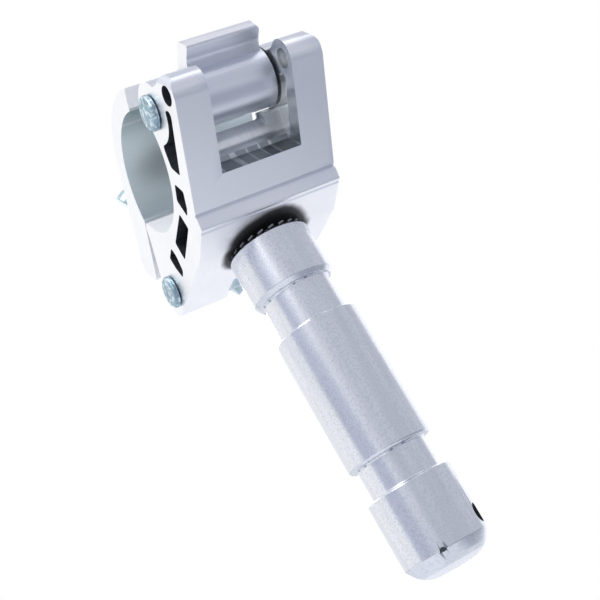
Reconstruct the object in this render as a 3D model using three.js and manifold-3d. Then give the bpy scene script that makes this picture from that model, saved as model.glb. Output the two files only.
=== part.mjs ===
// Half coupler for stage lighting: an extruded saddle with a hinged jaw closes round a horizontal
// tube, a swing bolt with a wing nut pulls the jaw shut, and a turned spigot hangs below.
//
// Frame, in millimetres: the origin is the centre of the seated tube, half way along the saddle.
// +X runs along the tube, +Y points from the hinge to the swing bolt, and +Z points up.
// The spigot hangs along -Z.

import * as THREE from "three";
import { mergeVertices } from "three/addons/utils/BufferGeometryUtils.js";
import Module from "manifold-3d";

// Driving dimensions.
const TUBE_R = 24.15; // scaffold tube, 48.3 mm across
const BORE_R = TUBE_R + 0.25;
const WIDTH = 50; // of the extrusion, along the tube
const BASE_Z = -42; // the saddle's flat lower face
const GAP = 0.3; // between pieces that touch

const HINGE = [-31.2, -2.3]; // (Y, Z) of the jaw's pin
const PIVOT = [30.4, -34.9]; // (Y, Z) of the swing bolt's pin
const PIN_R = 4;
const PIN_HOLE_R = PIN_R + GAP;
const RIVET_HEAD_R = 5.6;
const RIVET_HEAD_T = 1.9;
const RIVET_TAIL_R = 5.5;
const RIVET_TAIL_T = 1.5;
const RIVET_WASHER_R = 7;
const RIVET_WASHER_T = 1.2;

const HUB_R = 9.3; // ear round the jaw's pin
const LOBE = [-45.9, -6.6, 5.6]; // ear tip: centre Y, centre Z, radius
const EAR_HOLE = [-46.2, -7.2, 3.1];
const FOOT_R = 9.2; // back of the body, round the swing bolt's pin
const FOOT_CORNER = [36.2, -38.6, 3.4]; // lower back corner: centre Y, centre Z, radius
const FRONT_TOP = [-49.4, -11.4];
const FRONT_FOOT = [-20.2, -33.7];
const SLOT_HALF = 14; // half width of the window between the ears
const BOLT_SLOT_HALF = 7.2;
const BOLT_SLOT_R = 8;

const KNUCKLE_HALF = 13; // half width of the jaw's barrel
const BARREL_R = 9.7;
const JAW_CENTRE = [-3.7, -14]; // centre of the jaw's arc, as it hangs shut with no tube
const JAW_IN_R = 26.2;
const JAW_OUT_R = 33.3;
const JAW_CLEARANCE_R = 19.5; // cut round the ears
const LUG_IN = 14.2; // the lug's inner and outer faces, measured along the bolt from its pin
const LUG_OUT = 25.6;
const LUG_TIP = -1.2; // the lug's end, measured across the bolt
const LUG_SLOT_HALF = 7;
const LUG_SLOT_END = 1.8;
const TAB_HALF = 12.4; // half width of the thumb tab

const LUG_ANGLE = 47; // of the lug's faces' normal above +Y, in degrees
const BOLT_ANGLE = 39; // of the bolt above +Y: it has swung a little way out of the lug
const BOLT_R = 6;
const BOLT_LENGTH = 62;
const EYE_R = 7.1;
const EYE_HALF = 6.7;
const NUT_BACKED_OFF = 2.3; // clear of the lug, so that the bolt can swing out
const WASHER_R = 12;
const WASHER_T = 2.5;
const NUT_HOLE_R = BOLT_R + GAP;
const HUB_BASE_R = 11;
const HUB_TOP_R = 8.6;
const HUB_HEIGHT = 14;
const WING_TURN = 55.6; // of the wings from +X about the bolt, in degrees
const WING_HALF_T = 2.2;

const SPIGOT_R = 14;
const GROOVE_R = 11.5;
const SCREW_R = 6;
const SCREW_HOLE_R = SCREW_R + GAP;
const SCREW_HEAD_R = 9;
const SCREW_HEAD_T = 7;
const COUNTERBORE_R = 9.8;
const COUNTERBORE_FLOOR = BASE_Z + 7.2;
const LOCK_WASHER_T = 1.0;
const CROSS_HOLE_R = 3.1;
const CROSS_HOLE_Z = BASE_Z - 106.8;
const CROSS_HOLE_TURN = -37; // of the cross hole from +X about the spigot, in degrees

const ROUND = 48; // sides of a full circle
const SMALL_ROUND = 32;

const wasm = await Module();
wasm.setup();

// ---- shapes ----

const radians = THREE.MathUtils.degToRad;

// Points along an arc, in degrees, both ends included.
function arc([y, z], r, from, to) {
  const steps = Math.max(2, Math.ceil((Math.abs(to - from) / 360) * ROUND));
  return Array.from({ length: steps + 1 }, (_, i) => {
    const a = radians(from + ((to - from) * i) / steps);
    return [y + r * Math.cos(a), z + r * Math.sin(a)];
  });
}

const circle = ([y, z], r) => arc([y, z], r, 0, 360).slice(0, -1);

const vectors = (points) => points.map(([u, v]) => new THREE.Vector2(u, v));

// A prism along X from a (Y, Z) outline, between two places on X, with holes.
function prism(outline, from, to, holes = []) {
  const shape = new THREE.Shape(vectors(outline));
  for (const hole of holes) shape.holes.push(new THREE.Path(vectors(hole)));
  const geometry = new THREE.ExtrudeGeometry(shape, { depth: to - from, bevelEnabled: false });
  const turn = new THREE.Matrix4().makeBasis(
    new THREE.Vector3(0, 1, 0),
    new THREE.Vector3(0, 0, 1),
    new THREE.Vector3(1, 0, 0),
  );
  return geometry.applyMatrix4(turn).translate(from, 0, 0);
}

// A turned piece about Z, from (radius, height) pairs.
function turned(profile, sides = ROUND) {
  return new THREE.LatheGeometry(vectors(profile), sides).rotateX(Math.PI / 2);
}

// A turned piece about an axis along X through a (Y, Z) place, from (radius, x) pairs.
function turnedAlongX(profile, [y, z], sides = ROUND) {
  return turned(profile, sides).rotateY(Math.PI / 2).translate(0, y, z);
}

function solid(geometry) {
  const bare = geometry.clone();
  bare.deleteAttribute("normal");
  bare.deleteAttribute("uv");
  const merged = mergeVertices(bare, 1e-3);
  return new wasm.Manifold(
    new wasm.Mesh({
      numProp: 3,
      vertProperties: merged.attributes.position.array,
      triVerts: new Uint32Array(merged.index.array),
    }),
  );
}

const cylinderX = ([y, z], r, from, to) => solid(prism(circle([y, z], r), from, to));

const cylinderZ = (r, from, to, sides = ROUND) =>
  solid(
    turned(
      [
        [0, from],
        [r, from],
        [r, to],
        [0, to],
      ],
      sides,
    ),
  );

const group = new THREE.Group();

const MATERIALS = {
  anodised: { color: 0xc6c8d4, roughness: 0.42, metalness: 0.9 },
  turned_aluminium: { color: 0xc3c6cc, roughness: 0.3, metalness: 1 },
  zinc: { color: 0xa9bcc4, roughness: 0.36, metalness: 1 },
  dark_steel: { color: 0x3a3c40, roughness: 0.5, metalness: 1 },
};

function add(name, made, material) {
  const mesh = made.getMesh();
  const geometry = new THREE.BufferGeometry();
  geometry.setAttribute("position", new THREE.BufferAttribute(mesh.vertProperties, 3));
  geometry.setIndex(new THREE.BufferAttribute(mesh.triVerts, 1));
  geometry.computeVertexNormals();
  const node = new THREE.Mesh(geometry, new THREE.MeshStandardMaterial(MATERIALS[material]));
  node.name = name;
  group.add(node);
}

// A place, as (Y, Z), given along a direction from the swing bolt's pin, and across it.
function fromPivot(angle, along, across) {
  const [c, s] = [Math.cos(radians(angle)), Math.sin(radians(angle))];
  return [PIVOT[0] + along * c - across * s, PIVOT[1] + along * s + across * c];
}

// Turns a piece that stands on Z at the origin to stand out from the swing bolt's pin.
function standOut(made, angle) {
  return made.rotate([angle - 90, 0, 0]).translate([0, PIVOT[0], PIVOT[1]]);
}

// ---- the saddle body ----

function bodyOutline() {
  return [
    [-4.5, BASE_Z],
    ...arc(FOOT_CORNER, FOOT_CORNER[2], -90, -4),
    ...arc(PIVOT, FOOT_R, -12, 42),
    [25.6, -15],
    [24.2, -12.3],
    ...arc([0, 0], BORE_R, -28.7, -191.4), // the saddle
    ...arc(HINGE, HUB_R, 50, 162), // the hub's crown
    [-43.6, -1],
    ...arc(LOBE, LOBE[2], 95, 218), // the ear's rolled tip
    FRONT_TOP,
    FRONT_FOOT,
    [-19.4, -33.6], // groove above the lip
    [-19.7, -35],
    [-18.5, -38.5], // lip
    [-17.3, -38.3],
    [-16.3, -38.9], // relieved front of the lower face
  ];
}

const POCKETS = [
  [
    ...arc(HINGE, 10.2, 214, 302),
    [-24.6, -12.2],
    [-22.3, -17.2],
    [-25.2, -22.1],
    [-41.6, -11.4],
    [-41.9, -9.4],
  ],
  [
    [-18.2, -20.6],
    [-13.1, -23.8],
    [-14.1, -30.4],
    [-17, -29.2],
    [-21.1, -25.4],
  ],
  [
    [-9.4, -26.6],
    [6.4, -28.6],
    [6.3, -35.3],
    [-9.9, -32.5],
  ],
  [
    [12.3, -27.4],
    [18.1, -28.2],
    [17.6, -32.6],
    [16, -37],
    [12.9, -36],
    [11.6, -31],
  ],
];

// The window between the ears: through the front wall and the hub, down to a thin blade at the bore.
const WINDOW = [
  [-31.9, -32.4],
  [-23.9, -21.8],
  [-23.2, -16.5],
  [-23.2, -11.6],
  [-19, -9.4],
  [-19, 20],
  [-60, 20],
  [-60, -32.4],
];

// The slot that the swing bolt turns in, open at the back and below.
function boltSlot() {
  const far = 60;
  return [
    [PIVOT[0] - BOLT_SLOT_R, BASE_Z - 5],
    [far, BASE_Z - 5],
    fromPivot(LUG_ANGLE, far, BOLT_SLOT_R),
    ...arc(PIVOT, BOLT_SLOT_R, LUG_ANGLE + 90, 180),
  ];
}

function makeBody() {
  const half = WIDTH / 2;
  const holes = [...POCKETS, circle(EAR_HOLE, EAR_HOLE[2])];
  return solid(prism(bodyOutline(), -half, half, holes))
    .subtract(solid(prism(WINDOW, -SLOT_HALF, SLOT_HALF)))
    .subtract(solid(prism(boltSlot(), -BOLT_SLOT_HALF, BOLT_SLOT_HALF)))
    .subtract(cylinderX(HINGE, PIN_HOLE_R, -half - 1, half + 1))
    .subtract(cylinderX(PIVOT, PIN_HOLE_R, -half - 1, half + 1))
    .subtract(cylinderZ(COUNTERBORE_R, COUNTERBORE_FLOOR, 0))
    .subtract(cylinderZ(SCREW_HOLE_R + GAP, BASE_Z - 1, COUNTERBORE_FLOOR + 1));
}

add("main_body", makeBody(), "anodised");

// ---- the hinged jaw ----

function armOutline() {
  const [nose, heel] = [5.2, 1.5];
  return [
    ...arc(JAW_CENTRE, JAW_OUT_R, 122, LUG_ANGLE),
    ...arc(fromPivot(LUG_ANGLE, LUG_OUT - nose, LUG_TIP + nose), nose, LUG_ANGLE, LUG_ANGLE - 90),
    ...arc(fromPivot(LUG_ANGLE, LUG_IN + heel, LUG_TIP + heel), heel, LUG_ANGLE - 90, LUG_ANGLE - 180),
    ...arc(JAW_CENTRE, JAW_IN_R, 7.5, 122),
  ];
}

// The neck from the arm to the barrel, and the barrel itself.
function neckOutline() {
  return [
    ...arc(JAW_CENTRE, JAW_OUT_R, 110, 122),
    [-27, 9.6],
    ...arc(HINGE, BARREL_R, 90, 330),
    [-22, 0.5],
    ...arc(JAW_CENTRE, JAW_IN_R, 122, 110),
  ];
}

const TAB = [
  [-34.6, 6.7],
  [-44.2, 10.3],
  [-47.9, 5.5],
  [-47.3, 4.9],
  [-42.6, 3.6],
  [-40, 1.2],
  [-36, 0],
];

function makeJaw() {
  const half = WIDTH / 2;
  const clearance = cylinderX(HINGE, JAW_CLEARANCE_R, -half - 1, half + 1);
  const middle = solid(prism(neckOutline(), -KNUCKLE_HALF, KNUCKLE_HALF));
  const arm = solid(prism(armOutline(), -half, half)).subtract(clearance);
  const armRoot = solid(prism(armOutline(), -KNUCKLE_HALF, KNUCKLE_HALF));
  const slotEnd = solid(turned([[0, 0], [LUG_SLOT_HALF, 0], [LUG_SLOT_HALF, 40], [0, 40]], SMALL_ROUND));
  const slot = solid(new THREE.BoxGeometry(2 * LUG_SLOT_HALF, 20, 40).translate(0, -10, 20))
    .add(slotEnd)
    .translate([0, LUG_SLOT_END, 0]);
  return arm
    .add(armRoot)
    .add(middle)
    .add(solid(prism(TAB, -TAB_HALF, TAB_HALF)))
    .subtract(standOut(slot, LUG_ANGLE))
    .subtract(cylinderX(HINGE, PIN_HOLE_R, -half, half));
}

add("hinged_jaw", makeJaw(), "anodised");

// ---- the two rivets and their washers ----

function makeRivet(place) {
  const face = WIDTH / 2 + GAP;
  const tail = face + RIVET_WASHER_T + GAP;
  return solid(
    turnedAlongX(
      [
        [0, -face - RIVET_HEAD_T],
        [RIVET_HEAD_R - 0.9, -face - RIVET_HEAD_T],
        [RIVET_HEAD_R, -face - RIVET_HEAD_T + 0.8],
        [RIVET_HEAD_R, -face],
        [PIN_R, -face],
        [PIN_R, tail],
        [RIVET_TAIL_R, tail],
        [RIVET_TAIL_R - 1, tail + RIVET_TAIL_T],
        [0, tail + RIVET_TAIL_T],
      ],
      place,
      SMALL_ROUND,
    ),
  );
}

function ring(inner, outer, from, to) {
  return [
    [inner, from],
    [outer, from],
    [outer, to],
    [inner, to],
    [inner, from],
  ];
}

function makeRivetWasher(place) {
  const face = WIDTH / 2 + GAP;
  const profile = ring(PIN_HOLE_R, RIVET_WASHER_R, face, face + RIVET_WASHER_T);
  return solid(turnedAlongX(profile, place, SMALL_ROUND));
}

for (const [name, place] of [
  ["hinge_rivet", HINGE],
  ["bolt_rivet", PIVOT],
]) {
  add(name, makeRivet(place), "zinc");
  add(name + "_washer", makeRivetWasher(place), "zinc");
}

// ---- the swing bolt, its washer and its wing nut ----

function makeSwingBolt() {
  const shank = solid(
    turned(
      [
        [0, 3],
        [BOLT_R, 3],
        [BOLT_R, BOLT_LENGTH - 1.5],
        [BOLT_R - 1.5, BOLT_LENGTH],
        [0, BOLT_LENGTH],
      ],
      SMALL_ROUND,
    ),
  );
  return standOut(shank, BOLT_ANGLE)
    .add(cylinderX(PIVOT, EYE_R, -EYE_HALF, EYE_HALF))
    .subtract(cylinderX(PIVOT, PIN_HOLE_R, -EYE_HALF - 1, EYE_HALF + 1));
}

add("swing_bolt", makeSwingBolt(), "zinc");

const washerBase = LUG_OUT + NUT_BACKED_OFF; // along the bolt, from its pin
const nutBase = washerBase + WASHER_T + GAP;

function makeNutWasher() {
  const profile = ring(NUT_HOLE_R, WASHER_R, washerBase, washerBase + WASHER_T);
  return standOut(solid(turned(profile, SMALL_ROUND)), BOLT_ANGLE);
}

add("nut_washer", makeNutWasher(), "zinc");

// One wing, as (distance from the bolt, height above the nut's base).
const WING_TIP = [27, 16.8];
const WING_TIP_R = 5.5;
const WING_OUTLINE = [
  [4, 2.5],
  [11, 3.2],
  [19, 6.8],
  ...arc(WING_TIP, WING_TIP_R, -58, 118),
  [16, 16.2],
  [9, 12.8],
  [4, 12.4],
];

function makeWingNut() {
  const hub = solid(
    turned(
      [
        [0, 0],
        [HUB_BASE_R, 0],
        [HUB_BASE_R, 1.6],
        [HUB_TOP_R, HUB_HEIGHT - 1],
        [HUB_TOP_R - 1, HUB_HEIGHT],
        [0, HUB_HEIGHT],
      ],
      SMALL_ROUND,
    ),
  );
  const shape = new THREE.Shape(vectors(WING_OUTLINE));
  const plate = new THREE.ExtrudeGeometry(shape, { depth: 2 * WING_HALF_T, bevelEnabled: false });
  const wing = solid(plate.translate(0, 0, -WING_HALF_T).rotateX(Math.PI / 2));
  const thread = cylinderZ(NUT_HOLE_R, -1, HUB_HEIGHT + 1, SMALL_ROUND);
  const nut = hub.add(wing).add(wing.rotate([0, 0, 180])).subtract(thread);
  return standOut(nut.rotate([0, 0, WING_TURN]).translate([0, 0, nutBase]), BOLT_ANGLE);
}

add("wing_nut", makeWingNut(), "zinc");

// ---- the spigot, its screw and the lock washer ----

function makeSpigot() {
  const top = BASE_Z - LOCK_WASHER_T - 2 * GAP;
  const [collarFoot, landTop, landFoot, endTop, endFoot, end] = [20, 33.3, 78.9, 89.5, 111.3, 117.4].map(
    (down) => BASE_Z - down,
  );
  const holeDepth = 24;
  const profile = [
    [0, top - holeDepth - 3],
    [SCREW_HOLE_R, top - holeDepth],
    [SCREW_HOLE_R, top],
    [SPIGOT_R - 0.6, top],
    [SPIGOT_R, top - 0.6],
    [SPIGOT_R, collarFoot + 1.5],
    [SPIGOT_R - 1.3, collarFoot],
    [GROOVE_R, collarFoot],
    [GROOVE_R, landTop],
    [SPIGOT_R, landTop],
    [SPIGOT_R, landFoot + 0.7],
    [SPIGOT_R - 0.6, landFoot],
    [GROOVE_R, landFoot],
    [GROOVE_R, endTop],
    [SPIGOT_R, endTop],
    [SPIGOT_R, endFoot],
    [SPIGOT_R - 2.1, endFoot - 3], // chamfer
    [SPIGOT_R - 4.5, end + 1.3], // crown
    [SPIGOT_R - 8, end],
    [0, end],
  ];
  const crossHole = cylinderX([0, CROSS_HOLE_Z], CROSS_HOLE_R, -SPIGOT_R - 1, SPIGOT_R + 1);
  return solid(turned(profile.reverse())).subtract(crossHole.rotate([0, 0, CROSS_HOLE_TURN]));
}

add("spigot", makeSpigot(), "turned_aluminium");

function makeSpigotScrew() {
  const under = COUNTERBORE_FLOOR + GAP;
  const socket = new THREE.CylinderGeometry(4.6, 4.6, 4, 6).rotateX(Math.PI / 2);
  return solid(
    turned(
      [
        [0, BASE_Z - 24],
        [SCREW_R - 1, BASE_Z - 24],
        [SCREW_R, BASE_Z - 23],
        [SCREW_R, under],
        [SCREW_HEAD_R, under],
        [SCREW_HEAD_R, under + SCREW_HEAD_T - 0.6],
        [SCREW_HEAD_R - 0.6, under + SCREW_HEAD_T],
        [0, under + SCREW_HEAD_T],
      ],
      SMALL_ROUND,
    ),
  ).subtract(solid(socket.translate(0, 0, under + SCREW_HEAD_T - 1.9)));
}

add("spigot_screw", makeSpigotScrew(), "dark_steel");

function makeLockWasher() {
  const teeth = 22;
  const outer = 13.2;
  const root = 11.4;
  const pitch = 360 / teeth;
  const outline = Array.from({ length: teeth }, (_, i) => [
    arc([0, 0], outer, i * pitch, (i + 0.45) * pitch).slice(0, 2),
    arc([0, 0], root, (i + 0.55) * pitch, (i + 0.9) * pitch).slice(0, 2),
  ]).flat(2);
  const shape = new THREE.Shape(vectors(outline));
  shape.holes.push(new THREE.Path(vectors(circle([0, 0], SCREW_HOLE_R + GAP))));
  const plate = new THREE.ExtrudeGeometry(shape, { depth: LOCK_WASHER_T, bevelEnabled: false });
  return solid(plate.translate(0, 0, BASE_Z - GAP - LOCK_WASHER_T));
}

add("lock_washer", makeLockWasher(), "dark_steel");

export default group;
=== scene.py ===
"""A half coupler pipe clamp with its spigot: the looks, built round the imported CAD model.

Shapes are worked out in millimetres in the row frame (X along the tube, Y from the hinge to the
swing bolt, Z up, origin at the centre of the seated tube) and become metres in new_piece().
"""

import math

import bmesh
import bpy
from mathutils import Matrix, Vector


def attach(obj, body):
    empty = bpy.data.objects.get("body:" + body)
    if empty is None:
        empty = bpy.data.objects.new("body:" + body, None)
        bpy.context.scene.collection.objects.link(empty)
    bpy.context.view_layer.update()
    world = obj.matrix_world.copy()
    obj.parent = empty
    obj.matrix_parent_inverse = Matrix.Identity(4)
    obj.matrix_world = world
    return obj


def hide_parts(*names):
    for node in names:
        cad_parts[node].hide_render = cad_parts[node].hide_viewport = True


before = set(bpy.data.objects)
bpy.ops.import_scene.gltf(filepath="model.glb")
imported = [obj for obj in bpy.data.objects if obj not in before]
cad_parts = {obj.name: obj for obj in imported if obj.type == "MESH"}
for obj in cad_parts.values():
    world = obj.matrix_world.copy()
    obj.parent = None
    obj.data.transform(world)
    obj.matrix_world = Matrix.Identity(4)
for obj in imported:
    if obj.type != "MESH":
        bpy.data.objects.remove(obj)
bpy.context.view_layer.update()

MM = 0.001

# ---- driving dimensions, as in the CAD model ----

BORE_R = 24.4
HALF_WIDTH = 25
BASE_Z = -42
GAP = 0.3

HINGE = (-31.2, -2.3)  # (Y, Z) of the jaw's pin
PIVOT = (30.4, -34.9)  # (Y, Z) of the swing bolt's pin
PIN_R = 4
PIN_HOLE_R = PIN_R + GAP
RIVET_HEAD_R, RIVET_HEAD_T = 5.6, 1.9
RIVET_TAIL_R, RIVET_TAIL_T = 5.5, 1.5
RIVET_WASHER_R, RIVET_WASHER_T = 7, 1.2

HUB_R = 9.3
LOBE, LOBE_R = (-45.9, -6.6), 5.6
EAR_HOLE, EAR_HOLE_R = (-46.2, -7.2), 3.1
FOOT_R = 9.2
FOOT_CORNER, FOOT_CORNER_R = (36.2, -38.6), 3.4
FRONT_TOP = (-49.4, -11.4)
FRONT_FOOT = (-20.2, -33.7)
SLOT_HALF = 14
DEEP_SLOT_HALF = 9.8  # the inner, round-cornered cut
BLADE_Y = -23.2  # the face that the inner cut leaves at the bore
BOLT_SLOT_HALF, BOLT_SLOT_R = 7.2, 8

KNUCKLE_HALF = 13
BARREL_R = 9.7
JAW_CENTRE = (-3.7, -14)
JAW_IN_R, JAW_OUT_R = 26.2, 33.3
JAW_CLEARANCE_R = 19.5
LUG_IN, LUG_OUT, LUG_TIP = 14.2, 25.6, -1.2
LUG_SLOT_HALF, LUG_SLOT_END = 7, 1.8
TAB_HALF = 12.4

LUG_ANGLE, BOLT_ANGLE = 47, 39
BOLT_R, BOLT_LENGTH = 6, 62
THREAD_PITCH, THREAD_DEPTH = 1.75, 0.85
THREAD_START, THREAD_END = 17, BOLT_LENGTH - 0.4
EYE_R, EYE_HALF = 7.1, 6.7
WASHER_R, WASHER_T = 12, 2.5
WASHER_BASE = LUG_OUT + 2.3  # along the bolt, from its pin
NUT_BASE = WASHER_BASE + WASHER_T + GAP
NUT_HUB_R, NUT_TOP_R, NUT_HEIGHT = 11, 8.6, 14
WING_TURN, WING_HALF_T = 55.6, 2.2
WING_TIP, WING_TIP_R = (27, 16.8), 5.5

SPIGOT_R, GROOVE_R = 14, 11.5
SCREW_R, SCREW_HEAD_R, SCREW_HEAD_T = 6, 9, 7
SCREW_TIP_Z = BASE_Z - 24
COUNTERBORE_R, COUNTERBORE_FLOOR = 9.8, BASE_Z + 7.2
LOCK_WASHER_T = 1.0
CROSS_HOLE_R, CROSS_HOLE_Z = 3.1, BASE_Z - 106.8
CROSS_HOLE_TURN = -37  # of the cross hole from +X about the spigot, in degrees

RIM = 0.35  # radius of the broken edges on the extrusions
SADDLE_CORNER, JAW_CORNER, TAB_CORNER = 0.9, 0.8, 1.1  # reach of the rounds at extruded corners
EAR_END_R, TAB_END_R = 3.2, 2.4  # rounded ends of the ears' and the tab's tips
PAST = HALF_WIDTH + 1  # half the length of a cut right through the extrusion

FLOOR_SIZE, FLOOR_Z = 4.8, -0.45  # metres


# ---- outlines ----


def arc(centre, radius, start, end, step=3.0):
    """Points along an arc, in degrees, both ends included."""
    count = max(2, math.ceil(abs(end - start) / step))
    angles = [math.radians(start + (end - start) * i / count) for i in range(count + 1)]
    return [(centre[0] + radius * math.cos(a), centre[1] + radius * math.sin(a)) for a in angles]


def circle(centre, radius, step=5.0):
    return arc(centre, radius, 0, 360, step)[:-1]


def soften(points, reach, closed=True, sharp=24, steps=5):
    """The same line with its sharp corners rounded, each curve starting `reach` before its corner."""
    spots = [Vector(p) for p in points]
    count = len(spots)
    travel = [0.0]
    for i in range(count if closed else count - 1):
        travel.append(travel[-1] + (spots[(i + 1) % count] - spots[i]).length)
    total = travel[-1]

    def at(distance):
        distance = distance % total if closed else distance
        i = max(k for k in range(len(travel) - 1) if travel[k] <= distance)
        share = (distance - travel[i]) / (travel[i + 1] - travel[i])
        return spots[i].lerp(spots[(i + 1) % count], share)

    def is_sharp(i):
        if not closed and i in (0, count - 1):
            return False
        before = spots[i] - spots[i - 1]
        after = spots[(i + 1) % count] - spots[i]
        return math.degrees(before.angle(after)) > sharp

    def apart(i, j):
        distance = abs(travel[i] - travel[j])
        return min(distance, total - distance) if closed else distance

    corners = [i for i in range(count) if is_sharp(i)]
    ends = [] if closed else [0, count - 1]
    reaches = {}
    for i in corners:
        nearest = min([apart(i, j) for j in corners + ends if j != i], default=total)
        reaches[i] = min(reach, 0.45 * nearest)
    line = []
    for i in range(count):
        if i in reaches:
            start, end = at(travel[i] - reaches[i]), at(travel[i] + reaches[i])
            for k in range(steps + 1):
                t = k / steps
                line.append(start * (1 - t) ** 2 + spots[i] * 2 * t * (1 - t) + end * t * t)
        elif all(apart(i, j) > reaches[j] for j in corners):
            line.append(spots[i])
    return [tuple(p) for p in line]


def from_pivot(angle, along, across):
    """A (Y, Z) place given along a direction from the swing bolt's pin, and across it."""
    c, s = math.cos(math.radians(angle)), math.sin(math.radians(angle))
    return (PIVOT[0] + along * c - across * s, PIVOT[1] + along * s + across * c)


# ---- mesh building ----


def new_piece(name, bm, materials):
    """A mesh object in metres from a bmesh in millimetres."""
    bmesh.ops.recalc_face_normals(bm, faces=bm.faces)
    bm.transform(Matrix.Scale(MM, 4))
    mesh = bpy.data.meshes.new(name)
    bm.to_mesh(mesh)
    bm.free()
    for material in materials:
        mesh.materials.append(material)
    piece = bpy.data.objects.new(name, mesh)
    bpy.context.scene.collection.objects.link(piece)
    return piece


AXES = {
    "X": Matrix(((0, 0, 1, 0), (1, 0, 0, 0), (0, 1, 0, 0), (0, 0, 0, 1))),  # outline in (Y, Z)
    "Y": Matrix(((1, 0, 0, 0), (0, 0, 1, 0), (0, 1, 0, 0), (0, 0, 0, 1))),  # outline in (X, Z)
    "Z": Matrix.Identity(4),  # outline in (X, Y)
}


def prism(name, outline, low, high, side, cap=None, axis="X"):
    """A prism along an axis from an outline in the two other coordinates."""
    bm = bmesh.new()
    bottom = [bm.verts.new((u, v, low)) for u, v in outline]
    top = [bm.verts.new((u, v, high)) for u, v in outline]
    for face in (bm.faces.new(bottom[::-1]), bm.faces.new(top)):
        face.material_index = 1 if cap else 0
    for i in range(len(outline)):
        j = (i + 1) % len(outline)
        bm.faces.new((bottom[i], bottom[j], top[j], top[i]))
    bm.transform(AXES[axis])
    return new_piece(name, bm, [side, cap] if cap else [side])


def lathe(name, profile, material, sides=120, ring=False, radius_at=None):
    """A turned piece about Z from (radius, height) pairs, from axis to axis or joined up in a ring."""
    bm = bmesh.new()
    rings = []
    for radius, height in profile:
        if radius < 1e-6:
            rings.append([bm.verts.new((0, 0, height))])
            continue
        loop = []
        for i in range(sides):
            a = 2 * math.pi * i / sides
            r = radius_at(radius, height, a) if radius_at else radius
            loop.append(bm.verts.new((r * math.cos(a), r * math.sin(a), height)))
        rings.append(loop)
    pairs = list(zip(rings, rings[1:]))
    if ring:
        pairs.append((rings[-1], rings[0]))
    for low, high in pairs:
        for i in range(sides):
            j = (i + 1) % sides
            corners = [low[i % len(low)], low[j % len(low)], high[j % len(high)], high[i % len(high)]]
            bm.faces.new(list(dict.fromkeys(corners)))
    return new_piece(name, bm, [material])


def placed(piece, matrix):
    """Turns and moves a piece's mesh; the matrix is in millimetres."""
    scale = Matrix.Scale(MM, 4)
    piece.data.transform(scale @ matrix @ scale.inverted())
    return piece


def along_x(piece, place=(0, 0)):
    """Lays a piece that stands on Z along X, through a (Y, Z) place."""
    return placed(piece, Matrix.Translation((0, *place)) @ Matrix.Rotation(math.pi / 2, 4, "Y"))


def stand_out(piece, angle):
    """Turns a piece that stands on Z to stand out from the swing bolt's pin."""
    turn = Matrix.Rotation(math.radians(angle - 90), 4, "X")
    return placed(piece, Matrix.Translation((0, *PIVOT)) @ turn)


def apply_modifiers(piece):
    """Makes the piece's modified mesh its own."""
    graph = bpy.context.evaluated_depsgraph_get()
    made = bpy.data.meshes.new_from_object(piece.evaluated_get(graph))
    piece.modifiers.clear()
    old = piece.data
    piece.data = made
    bpy.data.meshes.remove(old)


def combine(piece, other, operation):
    """Joins or cuts a piece with another, which is used up; faces keep their own materials."""
    step = piece.modifiers.new("combine", "BOOLEAN")
    step.operation = operation
    step.object = other
    step.solver = "EXACT"
    step.material_mode = "TRANSFER"
    apply_modifiers(piece)
    bpy.data.objects.remove(other)


def cut(piece, *others):
    for other in others:
        combine(piece, other, "DIFFERENCE")


def join(piece, *others):
    for other in others:
        combine(piece, other, "UNION")


def tidy(piece, merge=0.004):
    """Welds the slivers that cuts leave."""
    bm = bmesh.new()
    bm.from_mesh(piece.data)
    bmesh.ops.remove_doubles(bm, verts=bm.verts, dist=merge * MM)
    bmesh.ops.dissolve_degenerate(bm, dist=merge * MM, edges=bm.edges)
    bm.to_mesh(piece.data)
    bm.free()


def repaint(piece, material, chosen):
    """Gives the chosen faces another material."""
    piece.data.materials.append(material)
    index = len(piece.data.materials) - 1
    for face in piece.data.polygons:
        if chosen(face):
            face.material_index = index


def finished(piece, rim, segments=3, angle=32):
    """Breaks every sharp edge with a small round and shades the piece smooth."""
    tidy(piece)
    for face in piece.data.polygons:
        face.use_smooth = True
    bevel = piece.modifiers.new("broken edges", "BEVEL")
    bevel.width = rim * MM
    bevel.segments = segments
    bevel.limit_method = "ANGLE"
    bevel.angle_limit = math.radians(angle)
    bevel.miter_outer = "MITER_ARC"
    bevel.use_clamp_overlap = True
    normals = piece.modifiers.new("face weighted normals", "WEIGHTED_NORMAL")
    normals.weight = 60
    return piece


def cylinder_x(place, radius, low, high, material):
    return prism("cutter", circle(place, radius), low, high, material)


# ---- materials ----


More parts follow.
